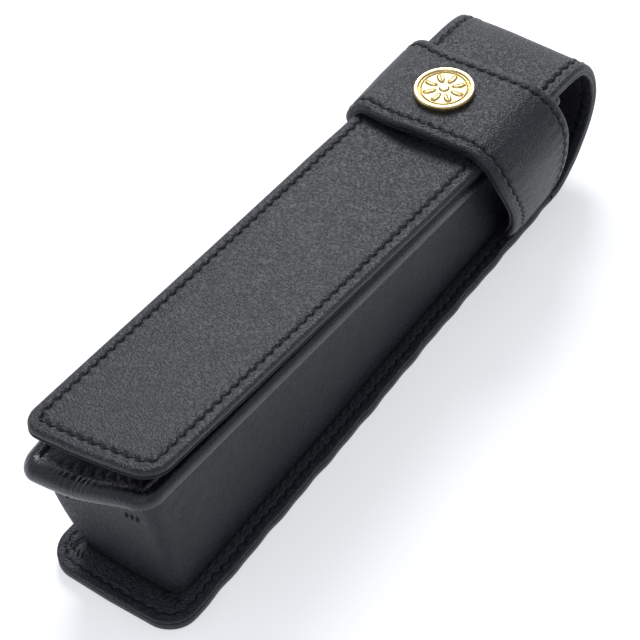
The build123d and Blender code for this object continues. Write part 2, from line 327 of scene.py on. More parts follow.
class Seam:
    """Stitches in a groove that wavers with each slanting stitch and is deepest at the needle holes."""
    waver = 0.28
    puff_off, puff_width = 1.15, 0.55  # where the leather swells beside the groove

    def __init__(self, inset, depth, width, puff=0.2):
        self.inset, self.depth, self.width, self.puff = inset, depth, width, puff

    def cut(self, inset, distance):
        """Depth of the groove, and the painted shade in it."""
        phase = 2 * pi * distance / pitch
        hole = (0.5 + 0.5 * np.cos(phase)) ** 1.5
        off = inset - self.inset - self.waver * np.sin(phase)
        reach = self.width * (0.75 + 0.5 * hole)
        profile = np.exp(-(off / reach) ** 2)
        puff = self.puff * hump(abs(off), self.puff_off, self.puff_width) * (1 - hole)
        return self.depth * profile * (0.4 + 0.8 * hole) - puff, profile * (0.2 + 0.65 * hole)


ripple_reach = 40.0  # length of the near end over which a rippled edge wanders


def plate(name, outline, section, place, materials, top_seam=None, under_seam=None, row_material=None,
          ripple=0.0):
    """Panel lofted through rings. Each section row is (inset, height, wear, painted_shade, side)."""
    rows = Rows()
    for inset, height, wear, painted_shade, side in section:
        xy = outline.ring(inset)
        seam = {"top": top_seam, "under": under_seam}.get(side)
        sink, shade = 0.0, 0.0
        if seam:
            sink, shade = seam.cut(inset, outline.distance(seam.inset))
        elif ripple:
            run = outline.distance(inset)
            wave = np.sin(run * 4.1 + 1.3 * np.sin(run * 0.9)) * (0.5 + 0.5 * np.sin(run * 0.37 + 1.0))
            sink = ripple * wave * fade(xy[:, 0], outline.near + ripple_reach, -ripple_reach)
        height = height + (-sink if side == "top" else sink)
        rows.add(place(xy[:, 0], xy[:, 1], height), wear, np.clip(painted_shade + shade, 0, 1))
    return mesh_object(name, rows, materials, False, row_material)


# ---- thread ----
stitch_dive = 0.42  # how far a stitch's ends go down into the needle holes
stitch_taper = 0.45  # share by which its ends are thinner
stitch_flat = 0.8  # its height over its width
stitch_rise = 0.04  # its middle over its place
stitch_ahead = 0.4  # how far ahead a seam's direction is read
end_margin = 1.0  # no stitch is nearer than this to a seam's ends


def thread_mesh(name, planes, material, length=stitch_length, radius=stitch_radius, slant=19.0):
    """Short bent stitches, one on each (place, direction, up)."""
    stations, around = 7, 8
    points, faces = [], []
    for place, direction, up in planes:
        place, direction, up = (np.array(v, float) for v in (place, direction, up))
        up = up / np.linalg.norm(up)
        direction = direction - up * (direction @ up)
        direction = direction / np.linalg.norm(direction)
        side = np.cross(up, direction)
        turned = direction * np.cos(radians(slant)) + side * np.sin(radians(slant))
        side = np.cross(up, turned)
        start = len(points)
        for t in np.linspace(-1, 1, stations):
            centre = place + turned * t * length / 2 + up * (stitch_rise - stitch_dive * t ** 4)
            thick = radius * (1 - stitch_taper * t ** 4)
            for a in np.linspace(0, 2 * pi, around, endpoint=False):
                ring = side * np.cos(a) * thick + up * np.sin(a) * thick * stitch_flat
                points.append((centre + ring) * MM)
        for k in range(stations - 1):
            for i in range(around):
                j = (i + 1) % around
                a, b = start + k * around, start + (k + 1) * around
                faces.append((a + i, a + j, b + j, b + i))
        faces.append([start + i for i in range(around)][::-1])
        faces.append([start + (stations - 1) * around + i for i in range(around)])
    mesh = bpy.data.meshes.new(name)
    mesh.from_pydata(points, [], faces)
    return link(mesh, [material])


def planes_at(place, spots, height, up):
    """Place, direction and up of a stitch at each spot, for a place given by (run, height)."""
    here, ahead, above = place(spots, height), place(spots + stitch_ahead, height), place(spots, height + up)
    return [(p, q - p, r - p) for p, q, r in zip(here, ahead, above)]


def edge_planes(place, seam, length, edges):
    """Stitches near both edges of a strip and on both its faces."""
    spots = (np.arange(int(length / pitch)) + 0.5) * pitch
    planes = []
    for edge in edges:
        for face, up in ((0.0, 1.0), (-strip_thick, -1.0)):
            planes += planes_at(lambda run, h: place(run, edge, seam.inset, h), spots,
                                face - stitch_sink * up, up)
    return planes


def seam_planes(outline, seam, place, height, up_sign=1.0, keep=None):
    """Stitches of a seam round an outline."""
    xy = outline.ring(seam.inset)
    distance = outline.distance(seam.inset)
    count = int((distance[-1] - end_margin) / pitch)
    spots = (np.arange(-count, count) + 0.5) * pitch

    def at(run, h):
        return place(np.interp(run, distance, xy[:, 0]), np.interp(run, distance, xy[:, 1]), h)

    return [plane for plane in planes_at(at, spots, height, up_sign) if keep is None or keep(plane[0])]


# ---- materials ----
class Nodes:
    """Short hand for building a material's nodes."""

    def __init__(self, name):
        self.material = bpy.data.materials.new(name)
        self.material.use_nodes = True
        self.tree = self.material.node_tree
        self.shader = self.tree.nodes["Principled BSDF"]
        self.place = self.add("TexCoord").outputs["Object"]

    def add(self, kind, inputs=None, **settings):
        node = self.tree.nodes.new("ShaderNode" + kind)
        for key, value in settings.items():
            setattr(node, key, value)
        for key, value in (inputs or {}).items():
            self.set(node.inputs[key], value)
        return node

    def set(self, socket, value):
        if isinstance(value, bpy.types.NodeSocket):
            self.tree.links.new(value, socket)
        else:
            socket.default_value = value

    def shade(self, **values):
        for key, value in values.items():
            self.set(self.shader.inputs[key.replace("_", " ")], value)

    def noise(self, size_mm, detail=3.0, roughness=0.5):
        return self.add("TexNoise", {
            "Vector": self.place, "Scale": 1 / (size_mm * MM), "Detail": detail,
            "Roughness": roughness}).outputs["Fac"]

    def cells(self, size_mm, place):
        return self.add("TexVoronoi", {
            "Vector": place, "Scale": 1 / (size_mm * MM)}, feature="F1").outputs["Distance"]

    def ease(self, value, low, high, to_low=0.0, to_high=1.0):
        return self.add("MapRange", {
            "Value": value, "From Min": low, "From Max": high, "To Min": to_low, "To Max": to_high},
            interpolation_type="SMOOTHSTEP").outputs["Result"]

    def math(self, operation, a, b):
        node = self.add("Math", operation=operation)
        self.set(node.inputs[0], a)
        self.set(node.inputs[1], b)
        return node.outputs[0]

    def mix(self, share, a, b):
        node = self.add("Mix", data_type="RGBA")
        self.set(node.inputs["Factor"], share)
        self.set(node.inputs["A"], a)
        self.set(node.inputs["B"], b)
        return node.outputs["Result"]

    def attribute(self, name):
        return self.add("Attribute", attribute_name=name).outputs["Fac"]

    def bump(self, height, distance_mm, strength=1.0, under=None):
        node = self.add("Bump", {
            "Height": height, "Distance": distance_mm * MM, "Strength": strength})
        if under is not None:
            self.set(node.inputs["Normal"], under)
        return node.outputs["Normal"]


def warped(nodes, size_mm, amount_mm):
    """Coordinates pushed about a little, so that cells aren't even."""
    push = nodes.add("TexNoise", {
        "Vector": nodes.place, "Scale": 1 / (size_mm * MM), "Detail": 2.0}).outputs["Color"]
    centred = nodes.add("VectorMath", {0: push, 1: (0.5, 0.5, 0.5)}, operation="SUBTRACT")
    scaled = nodes.add("VectorMath", {0: centred.outputs[0]}, operation="SCALE")
    scaled.inputs["Scale"].default_value = amount_mm * MM
    return nodes.add("VectorMath", {0: nodes.place, 1: scaled.outputs[0]}).outputs[0]


def leather(name, deep, face, worn_and_painted_light_tone, rough, grain_mm, grain_depth, level):
    """Grained leather: domed pebbles parted by creases with painted shade, lighter where scuffed and where
    light is painted on, with painted shade in its seams, partings and hollows.
    """
    # colours of painted shade: crease for the creases between the pebbles of the grain, shadow where
    # painted_shade is set
    crease, shadow = (0.002, 0.002, 0.003, 1), (0.001, 0.001, 0.0015, 1)
    nodes = Nodes(name)
    turned = nodes.add("Mapping", {
        "Vector": warped(nodes, 1.1, 0.35), "Rotation": (0.5, 0.3, 0.9),
        "Scale": (1.0, 0.72, 1.0)}).outputs["Vector"]
    pebbles = nodes.ease(nodes.cells(grain_mm, turned), 0.05, 0.72, 1.0, 0.0)
    fine = nodes.noise(0.28, 2.0, 0.6)
    folds = nodes.noise(6.0, 2.0, 0.5)
    mottle = nodes.noise(9.0, 4.0, 0.6)
    wear = nodes.attribute("wear")
    painted_shade = nodes.attribute("painted_shade")
    tone = nodes.mix(nodes.ease(mottle, 0.3, 0.75), deep, face)
    # rubbing lightens the rims, and the same lighter tone is painted light on the flange and at the foot of
    # the wall
    rubbing_and_painted_light = nodes.math("MULTIPLY", wear, nodes.ease(nodes.noise(1.3, 4.0, 0.65), 0.25, 0.75, 0.35, 1.0))
    tone = nodes.mix(rubbing_and_painted_light, tone, worn_and_painted_light_tone)
    # painted shade in the creases of the grain, then wherever painted_shade is set
    tone = nodes.mix(nodes.ease(pebbles, 0.1, 0.6, 0.5, 0.0), tone, crease)
    tone = nodes.mix(nodes.math("MULTIPLY", painted_shade, 0.92), tone, shadow)
    gloss = nodes.ease(nodes.noise(2.2, 3.0, 0.6), 0.25, 0.75, rough[0], rough[1])
    gloss = nodes.math("ADD", gloss, nodes.ease(pebbles, 0.0, 0.7, 0.12, 0.0))
    gloss = nodes.math("ADD", gloss, nodes.math("MULTIPLY", painted_shade, 0.35))
    height = nodes.math("ADD", pebbles, nodes.math("MULTIPLY", fine, 0.8))
    normal = nodes.bump(folds, 0.3, 0.12)
    normal = nodes.bump(height, grain_depth, 1.0, normal)
    nodes.shade(Base_Color=tone, Roughness=gloss, Normal=normal, Specular_IOR_Level=level,
                Specular_Tint=(0.90, 0.93, 1.0, 1))
    return nodes.material


def thread_finish(name, colour):
    """Waxed thread with a fine twist."""
    nodes = Nodes(name)
    ply = nodes.noise(0.16, 2.0, 0.5)
    tone = nodes.mix(nodes.ease(ply, 0.3, 0.7), colour, tuple(2.2 * c for c in colour[:3]) + (1,))
    nodes.shade(Base_Color=tone, Roughness=0.6, Normal=nodes.bump(ply, 0.06), Specular_IOR_Level=0.15)
    return nodes.material


def metal(name, colour, recess_shade, rough):
    """Plated metal, with painted shade in its recesses."""
    nodes = Nodes(name)
    painted_shade = nodes.attribute("painted_shade")
    tone = nodes.mix(nodes.math("MULTIPLY", painted_shade, 0.8), colour, recess_shade)
    haze = nodes.ease(nodes.noise(0.9, 3.0, 0.6), 0.3, 0.7, rough, rough + 0.12)
    normal = nodes.bump(nodes.noise(0.3, 2.0), 0.012)
    nodes.shade(Base_Color=tone, Metallic=1.0, Roughness=haze, Normal=normal)
    return nodes.material


black = leather("black_grain", (0.008, 0.0083, 0.011, 1), (0.013, 0.0135, 0.017, 1), (0.040, 0.041, 0.049, 1),
                rough=(0.34, 0.41), grain_mm=0.43, grain_depth=0.11, level=0.5)
smooth_black = leather("black_smooth", (0.008, 0.009, 0.0132, 1), (0.014, 0.0155, 0.021, 1),
                       (0.036, 0.0385, 0.049, 1), rough=(0.38, 0.52), grain_mm=0.50, grain_depth=0.11,
                       level=0.42)
# glossier leather of the bound edges and front panel, its darker tone partly painted shade under the flap
shaded_edge_black = leather("black_edge_shaded", (0.005, 0.0052, 0.007, 1), (0.008, 0.0085, 0.011, 1),
                     (0.020, 0.021, 0.026, 1), rough=(0.17, 0.28), grain_mm=0.42, grain_depth=0.035,
                     level=0.55)
inside = leather("black_lining", (0.007, 0.007, 0.0085, 1), (0.012, 0.012, 0.014, 1), (0.03, 0.03, 0.034, 1),
                 rough=(0.6, 0.75), grain_mm=0.5, grain_depth=0.05, level=0.3)
thread = thread_finish("black_thread", (0.002, 0.002, 0.0025, 1))
gold = metal("gold_plate", (0.74, 0.58, 0.28, 1), (0.22, 0.14, 0.04, 1), 0.25)
brass = metal("rivet_brass", (0.75, 0.55, 0.25, 1), (0.2, 0.12, 0.04, 1), 0.3)


# ---- back panel: the strip under the pouch, with its turned edge ----
edge_wander = 0.18
far_right_narrowing = 0.035  # shares of the base's half width
near_left_narrowing = 0.045
near_right_flare = 0.015


def base_place(x, y, z):
    """Base outline, skewed a little at the near end, with an edge that wanders."""
    near_share = fade(x, -30, -50)
    wander = edge_wander * np.sin(x * 0.55 + 1.3 * np.sign(y)) * np.sin(x * 0.17 + 0.6)
    across = y * (1 + wander / flange_half * fade(abs(y), 12, 6))
    across = across * (1 - far_right_narrowing * fade(x, -25, 45) * (y < 0))
    across = across * (1 - near_share * np.where(y > 0, near_left_narrowing, -near_right_flare))
    skew = 0.06 * np.maximum(y, 0) + 0.02 * np.minimum(y, 0) - 0.55
    return np.stack([x + near_share * skew, across, z + 0 * x], axis=-1)


def edge_arc(height, radius_in, radius_up, start, stop, count, wear):
    """Section rows round part of an outer edge, angles in degrees, 0 inwards and 90 up."""
    return [(radius_in + radius_in * np.cos(a), height + radius_up * np.sin(a),
             wear * max(0.0, np.sin(a)) ** 0.5, 0.0, "edge")
            for a in np.radians(np.linspace(start, stop, count))]


# places of the rows across a stitched groove, from its inner side outwards
groove_rows = (1.5, 1.1, 0.8, 0.55, 0.35, 0.15, 0.0, -0.15, -0.35, -0.55, -0.8, -1.1)


def near_groove(inset):
    """Insets close together across a seam's groove."""
    return [inset + step for step in groove_rows]


base_outline = Outline(flange_near, mouth_x, flange_half, base_corner, side_points=260)
base_seam = Seam(2.0, depth=0.3, width=0.35, puff=0.0)
base_section = (
    [(inset, base_top - 0.03, 0.0, 0.0, "edge") for inset in (flange_half, 12.0, 6.0, 2.0, 0.7)]
    + edge_arc(1.45, 0.5, 0.5, 100, 180, 5, 0.2)
    + edge_arc(0.55, 0.5, 0.55, 180, 262, 5, 0.2)
    + [(inset, 0.0, 0.15, 0.0, "under") for inset in near_groove(base_seam.inset)[::-1]]
    + [(inset, 0.0, 0.0, 0.0, "under") for inset in (5.0, 8.0, 12.0, 15.0, flange_half)])
base = plate("back_panel_sheet", base_outline, base_section, base_place, [black], under_seam=base_seam)
on_case(base, "black_leather", "back_panel_leather", "back_panel_board")


# ---- where the front panel lies ----
droop_reach = 24.0


def lip_place(x, y, h):
    """Front panel: bowed at its near end, where its left corner droops."""
    end_share = fade(x, lip_near + droop_reach, -droop_reach)
    spots = front_point(x, y, h)
    spots[..., 0] += 1.0 - near_bow(x, y, lip_near, lip_half, 1.4)
    spots[..., 2] -= tucked(x, y)
    spots[..., 2] -= end_share * (1.8 * fade(y, -4, 24) + 2.65 * fade(y, -13, 16))
    spots[..., 1] += 0.4 * end_share * fade(y, 2, 14)
    return spots


# ---- gusset: flange, crease and walls in one turned strip ----
gusset_outline = Outline(flange_near, mouth_x, flange_half, base_corner, side_points=260)
gusset_seam = Seam(2.1, depth=0.28, width=0.32, puff=0.08)
level_margin = 3.6  # the flange's rows keep an even inset as far as this
end_lean = 5.4  # how far the end wall's top stands out beyond its foot
end_belly = 1.2  # how far its middle is drawn in
side_belly = 0.55
corner_bulge = 2.3  # of the left near corner, forwards
corner_spread = 1.6  # and sideways


def wall_start(rise):
    """Where the end wall stands at a share of its height."""
    return wall_near - end_lean * rise ** 0.9


def gusset_loop(rise, offset):
    """Outline of the wall at a share of its height, offset inwards."""
    half = wall_half + 1.2 * rise - offset
    return gusset_outline.loop(wall_start(rise) + offset, half, 2.6 + 1.4 * rise - 0.5 * offset)


def gusset_wall(rise, offset, sink=0.0):
    """Points of the wall at a share of its height. Its middle is drawn in, and its left corner bulges."""
    xy = gusset_loop(rise, offset)
    x, y = xy[:, 0], xy[:, 1]
    near = wall_start(rise)
    end_share = fade(x, near + 3.5, -3.5) * np.cos(pi / 2 * np.clip(y / wall_half, -1, 1)) ** 0.7
    belly = np.sin(pi * np.clip(rise, 0, 1)) ** 1.2
    x = x + end_belly * belly * end_share
    long_share = np.sin(pi * np.clip((x - wall_near) / (mouth_x - wall_near), 0, 1))
    y = y - np.sign(y) * side_belly * belly * smooth_step(long_share * 1.4) * (abs(y) > wall_half - 3)
    corner = fade(x, near + 16, -16) * fade(y, 2, 9)
    bulge = (1 - (1 - np.clip(rise, 0, 1)) ** 2.4) * corner
    x = x - corner_bulge * bulge * (1 - 0.6 * rise)
    y = y + corner_spread * bulge
    foot = base_place(x, y, flange_top)
    top = lip_place(np.maximum(x, lip_near + 1.5), y, 0.9)
    z = foot[:, 2] + (top[:, 2] - foot[:, 2]) * rise - sink
    return np.stack([foot[:, 0], foot[:, 1], z], axis=-1)


corner_pleat = 1.9  # from pleat to pleat of the leather gathered at the flange's near corners


def flange_rows():
    """Rows of the flange from its lower edge to the crease at the wall."""
    rows = Rows()
    distance = gusset_outline.distance(gusset_seam.inset)
    corner_run = flange_half - 2.0
    pucker = (hump(abs(distance), corner_run, 4.5) * np.sin(distance * 2 * pi / corner_pleat)
              + 0.35 * np.sin(distance * 2 * pi / pitch) * (abs(distance) > corner_run))
    edge = [(0.5, base_top + 0.03), (0.18, base_top + 0.12), (0.02, base_top + 0.4), (0.0, base_top + 0.6),
            (0.06, flange_top - 0.18), (0.25, flange_top - 0.04), (0.6, flange_top)]
    # painted light lightens the flange through wear; painted shade lies along its lower edge, where it sits
    # on the back panel, in its groove and towards the crease
    for inset, height in edge:
        xy = gusset_outline.ring(inset)
        rows.add(base_place(xy[:, 0], xy[:, 1], height), 0.35 if height > base_top + 0.3 else 0.0,
                 0.8 if height < base_top + 0.2 else 0.0)
    for inset in near_groove(gusset_seam.inset)[::-1]:
        xy = gusset_outline.ring(inset)
        sink, shade = gusset_seam.cut(inset, distance)
        lift = 0.16 * pucker * fade(inset, 0, 2)
        rows.add(base_place(xy[:, 0], xy[:, 1], flange_top - sink + lift), 1.0, shade)
    inner = gusset_outline.loop(flange_near + level_margin, flange_half - level_margin, 2.8)
    foot = gusset_loop(0.0, -0.35)
    to_crease = ((0.0, 0.0, 0.0), (0.3, 0.0, 0.0), (0.6, 0.02, 0.0), (0.85, 0.1, 0.3), (1.0, 0.25, 0.9))
    for share, dip, shade in to_crease:
        xy = inner + (foot - inner) * share
        lift = 0.22 * pucker * (1 - 0.3 * share)
        rows.add(base_place(xy[:, 0], xy[:, 1], flange_top - dip + lift), 1.0, shade)
    return rows


def make_gusset():
    """Flange and wall in one closed section, the wall a little uneven."""
    rows = flange_rows()
    flange_count = len(rows.points)
    # painted light lightens the wall towards its foot, against the shade there; painted shade lies in the
    # crease at its foot and under the rolled edge at its top
    for rise in (0.012, 0.03, 0.06, 0.1, 0.16, 0.23, 0.31, 0.4, 0.49, 0.58, 0.67, 0.76, 0.85, 0.93, 1.0):
        rows.add(gusset_wall(rise, 0.0), max(0.0, 0.95 - 2.4 * rise),
                 max(0.0, 0.85 - rise * 28, (rise - 0.9) * 6))
    for rise in (1.0, 0.8, 0.6, 0.4, 0.2, 0.0):
        rows.add(gusset_wall(rise, wall, 1.2 * (1 - rise)), 0.0, 0.0)
    grid = np.array(rows.points)
    sway = crumple(grid, 14.0, 1)
    crease = crumple(grid * np.array([1.0, 1.0, 0.5]), 3.2, 2)
    wall_rows = np.arange(len(grid)) >= flange_count
    push = (0.45 * sway + 0.10 * crease) * wall_rows[:, None]
    grid[..., 1] += push * fade(abs(grid[..., 1]), 10, 3)
    grid[..., 0] += 0.6 * push * fade(grid[..., 0], wall_near + 3, -3)
    rows.points = grid
    thing = mesh_object("gusset", rows, [smooth_black], True)
    return on_case(thing, "black_leather", "gusset_leather")


gusset = make_gusset()


def make_gusset_lining():
    """Inner layer of the wall."""
    rises = (0.0, 0.25, 0.5, 0.75, 1.0)
    rows = Rows()
    for depth, order in ((wall + 0.02, rises), (wall + lining, rises[::-1])):
        for rise in order:
            rows.add(gusset_wall(rise, depth, 1.0 - rise), 0.0, 0.0)
    thing = mesh_object("pocket_lining", rows, [inside], True)
    on_case(thing, "lining_leather", "gusset_lining")


make_gusset_lining()


# ---- front panel with its rolled edge ----
panel_under = 2.75  # the front panel's underside, over the underside of its bound edge
panel_crown = 0.15  # rise of the front panel's face inside its seam
panel_shade = 0.35  # painted shade on its face under the flap, which also makes it duller
lip_outline = Outline(lip_near, mouth_x, lip_half, lip_corner, side_points=300, end_points=90)
lip_seam = Seam(4.9, depth=0.2, width=0.5, puff=0.0)
lip_face = [(inset, panel_face + panel_crown) for inset in (lip_half, 13.5, 10.5, 8.5)]
lip_face += [(7.6, panel_face + 0.09), (7.0, panel_face + 0.03)]
lip_face += [(inset, panel_face) for inset in near_groove(lip_seam.inset)[:10]]
lip_section = (
    [(inset, height, 0.0, panel_shade, "top") for inset, height in lip_face]
    + edge_arc(roll_radius, roll_radius, roll_radius, 42, 180, 15, 0.25)
    + edge_arc(roll_radius, roll_radius, roll_radius, 192, 318, 12, 0.0)
    + [(4.5, 2.4, 0.0, 0.0, "edge")]
    + [(inset, panel_under, 0.0, 0.0, "edge") for inset in (5.2, 10.0, lip_half)])
front = plate("front_panel", lip_outline, lip_section, lip_place, [shaded_edge_black], lip_seam, ripple=0.05)
on_case(front, "black_leather", "front_panel_leather", "front_edge_binding")

ceiling_outline = Outline(wall_near + wall + 1.5, mouth_x, wall_half - wall - 0.2, 2.0, side_points=60)
ceiling_insets = (12.3, 6.0, 0.0)
ceiling_section = [(inset, 2.7, 0, 0, "edge") for inset in ceiling_insets]
ceiling_section += [(inset, 1.6, 0, 0, "edge") for inset in ceiling_insets[::-1]]
ceiling = plate("front_lining", ceiling_outline, ceiling_section, lip_place, [inside])
on_case(ceiling, "lining_leather", "front_panel_lining", "front_panel_board")


def make_hem():
    """Roll across the front panel's mouth edge, with a rounded knob at each end."""
    half, reach, rise, middle = lip_half - 0.4, 1.55, 2.1, 2.35
    right_knob = 4.0  # how far the right end stands out of the mouth
    rows = Rows()
    spread = np.sin(np.linspace(-pi / 2, pi / 2, 60))
    y = half * spread
    taper = np.sqrt(np.clip(1 - (spread * 0.999) ** 16, 0, 1))
    knob = 1 + 0.12 * hump(abs(y), half - 1.6, 1.2)
    for a in np.linspace(0, 2 * pi, 20, endpoint=False):
        x = hem_high[0] - 1.0 + reach * np.cos(a) * taper * knob + right_knob * hump(y, -half, 3.2)
        h = middle + rise * np.sin(a) * taper * knob
        rows.add(front_point(x, y, h), 0.3, 0.0)
    on_case(mesh_object("mouth_hem", rows, [shaded_edge_black], True), "black_leather", "front_mouth_hem")


make_hem()


# ---- flap ----
# slope of the flap in front of the hinge, small enough to serve as its angle as well
flap_rise = (flap_high[2] - strip_thick * 0.995 - (hinge_z - strip_thick)) / (hinge_x - flap_low[0])
flap_bow = 0.8
flap_sag = 0.175


def flap_place(x, y, h):
    """Top of the flap is h = 0. Its slope changes softly at the hinge."""
    z = hinge_z - (x - hinge_x) * np.tan(slope) + (flap_rise - np.tan(slope)) * ramp(hinge_x - x, 5.0)
    px = x + flap_bow - near_bow(x, y, flap_near, strip_half, flap_bow) + h * np.sin(flap_rise)
    sag = flap_sag * np.cos(pi / 2 * np.clip(y / strip_half, -1, 1)) * fade(x, 20, -60)
    pz = z + h * np.cos(flap_rise) + lean(x, y) - sag
    return np.stack([px, drawn_in(y, x) + 0 * px, pz - tucked(x, y)], axis=-1)


def layered_edge(crown, start, foot, wear, low_wear, parting, shade, low_shade=0.0):
    """Section rows round the edge of two layers of leather, with a fine parting between them, where shade is
    painted.
    """
    rows = edge_arc(-crown, crown, crown, start, 180, 7, wear)
    rows += [(0.02, -1.45, low_wear, 0.0, "edge"), (parting, -1.6, 0.0, shade, "edge"),
             (0.02, -1.75, 0.0, low_shade, "edge")]
    return rows + edge_arc(foot - strip_thick, foot, foot, 180, 262, 5, low_wear)


flap_outline = Outline(flap_near, flap_seam_x, strip_half, flap_corner, side_points=400, end_points=90)
flap_seam = Seam(2.9, depth=0.45, width=0.34)
flap_face_insets = (strip_half, 15.0, 12.0, 9.0, 6.5, 5.2)
flap_section = (
    [(inset, 0.0, 0.0, 0.0, "top") for inset in flap_face_insets]
    + [(inset, 0.0, 0.1 if inset < 2.7 else 0.0, 0.0, "top") for inset in near_groove(flap_seam.inset)]
    + layered_edge(1.0, 75, 0.55, 0.25, 0.0, 0.12, 0.7, 0.1)
    + [(inset, -strip_thick, 0.0, 0.0, "under") for inset in near_groove(flap_seam.inset)[::-1]]
    + [(inset, -strip_thick, 0.0, 0.0, "under") for inset in (6.0, 9.0, 13.0, strip_half)])
outer_rows = len(flap_face_insets) + len(groove_rows) + 8  # as far as the parting of its layers
flap_rows = [0] * outer_rows + [1] * (len(flap_section) - outer_rows)
flap = plate("flap", flap_outline, flap_section, flap_place, [black, inside], flap_seam, flap_seam, flap_rows)
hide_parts("flap_front_leather", "flap_front_lining")

# ---- fold: the strip from the back panel's mouth round to the flap's seam under the band ----
def front_line(x):
    """Height of the flap's top behind the hinge."""
    return hinge_z - (x - hinge_x) * np.tan(slope)


fold_spine = resample(through([
    (mouth_x, 0.15), (68.2, 0.4), (71.6, 1.9), (77.2, 5.9), (82.9, 12.0), (85.5, 17.6), (85.6, 22.6),
    (84.0, 27.6), (80.6, 31.6), (75.5, 33.4), (69.0, 33.75), (62.0, front_line(62.0)),
    (flap_seam_x, front_line(flap_seam_x))]), 190)
fold_run = run_length(fold_spine)
fold_length = fold_run[-1]


def fold_place(run, sign, inset, h):
    """Point of the fold: inset from its right (-1) or left (1) edge. h = 0 is its outer face."""
    y = sign * (strip_half - inset)
    x, z, dx, dz = along(fold_spine, fold_run, run)
    skew = (0.065 * y + 1.25) * fade(x, 64, 16)
    high = fade(z, 12, 14)
    across = y + (drawn_in(y) - y) * high * fade(x, 66, -8) - 0.5 * fade(x, 60, 18)
    return np.stack([x + dz * h + skew, across, z - dx * h + lean(x, y) - tucked(x, y) * high], axis=-1)


def strip_loop(half, seam, rim_wear):
    """Half of a strip's section: (inset, height, wear, painted_shade, side) from the middle round to the
    middle.
    """
    insets = (half, half * 0.75, half * 0.5, 5.2)
    rows = [(inset, 0.0, 0.0, 0.0, "top") for inset in insets]
    rows += [(inset, 0.0, rim_wear * 0.6 if inset < seam.inset - 0.2 else 0.0, 0.0, "top")
             for inset in near_groove(seam.inset)]
    rows += layered_edge(1.0, 75, 0.55, rim_wear, 0.1, 0.1, 0.6)
    return rows + [(inset, -strip_thick, 0.0, 0.0, "under")
                   for inset in (*near_groove(seam.inset)[::-1], *insets[::-1])]


def both_sides(rows):
    """The half section on the right, then the same on the left in reverse order."""
    right = [(-1, *row) for row in rows]
    left = [(1, *row) for row in rows[::-1]]
    return right + left[1:-1]


def strip_rows(section, seam, runs, place):
    """Rows and materials of a strip sewn near both edges. Each section row starts with its edge."""
    rows, slots = Rows(), []
    for edge, inset, height, wear, painted_shade, side in section:
        sink, shade = (0.0, 0.0) if side == "edge" or edge == "mid" else seam.cut(inset, runs)
        level = height + (-sink if side == "top" else sink)
        rows.add(place(runs, edge, inset, level), wear, np.clip(painted_shade + shade, 0, 1))
        slots.append(1 if side == "under" else 0)
    return rows, slots


def make_fold():
    """Loop of the strip round the mouth, and its thread."""
    section = both_sides(strip_loop(strip_half, flap_seam, 0.35))
    rows, slots = strip_rows(section, flap_seam, np.linspace(0, fold_length, 300), fold_place)
    thing = mesh_object("fold", rows, [black, inside], True, slots)
    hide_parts("fold_leather", "fold_lining", "flap_rear_leather", "flap_rear_lining")
    sewn = thread_mesh("fold_thread", edge_planes(fold_place, flap_seam, fold_length, (-1, 1)), thread)
    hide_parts("fold_stitches")
    return thing, sewn


fold, fold_thread = make_fold()


# ---- keeper band ----
band_shoulder = 12.0  # radius of its right shoulder; the left one is tighter and falls a little
band_foot_y = 17.0
band_foot_near_x = 47.0
band_near_x, band_far_x = band_low[0], band_high[0]
band_skew = 2.9  # how far its left half runs off towards the mouth


def band_side_path(half, shoulder, fall):
    """One half of the band's outer face, from its crown down to the foot: (across, up)."""
    top, flat = band_high[2], half - shoulder
    shoulder_z = top - fall - shoulder
    drop = shoulder_z - flange_top
    turn = 2 * atan2(half - band_foot_y, drop)
    radius = drop / np.sin(turn)
    spread = np.linspace(0, flat, 20)
    crown = np.stack([spread, top - fall * fade(spread, 0, flat)], axis=-1)
    a = np.linspace(0, pi / 2, 30)
    bend = np.stack([flat + shoulder * np.sin(a), shoulder_z + shoulder * np.cos(a)], axis=-1)
    a = np.linspace(0, turn, 40)
    side = np.stack([half - radius + radius * np.cos(a), shoulder_z - radius * np.sin(a)], axis=-1)
    return np.vstack([crown, bend[1:], side[1:]])


band_shoulder_z = band_high[2] - band_shoulder
right_path = band_side_path(band_high[1], band_shoulder, 0.0) * np.array([-1, 1])
left_path = band_side_path(20.6, 8.0, 1.5)
band_path = resample(np.vstack([right_path[::-1], left_path[1:]]), 260)
band_run = run_length(band_path)
band_length = band_run[-1]


def band_edges(z):
    """Near and far edge of the band at a height. The near edge slants back towards the feet."""
    slant = (band_foot_near_x - band_near_x) / (band_shoulder_z - flange_top)
    near = band_near_x + slant * ramp(band_shoulder_z - z, 2.0) - 1.3 * hump(z, band_shoulder_z + 6, 6.0)
    far = band_far_x - 0.6 * hump(z, flange_top, 8.0)
    return near, far


def band_place(run, edge, inset, h):
    """Point of the band: inset from its near or far edge, or for "mid" at that share of its width."""
    y, z, dy, dz = along(band_path, band_run, run)
    near, far = band_edges(z)
    x = {"near": near + inset, "far": far - inset, "mid": near + (far - near) * inset}[edge]
    return np.stack([x + band_skew * fade(y, 2, 18), y - dz * h, z + dy * h], axis=-1)


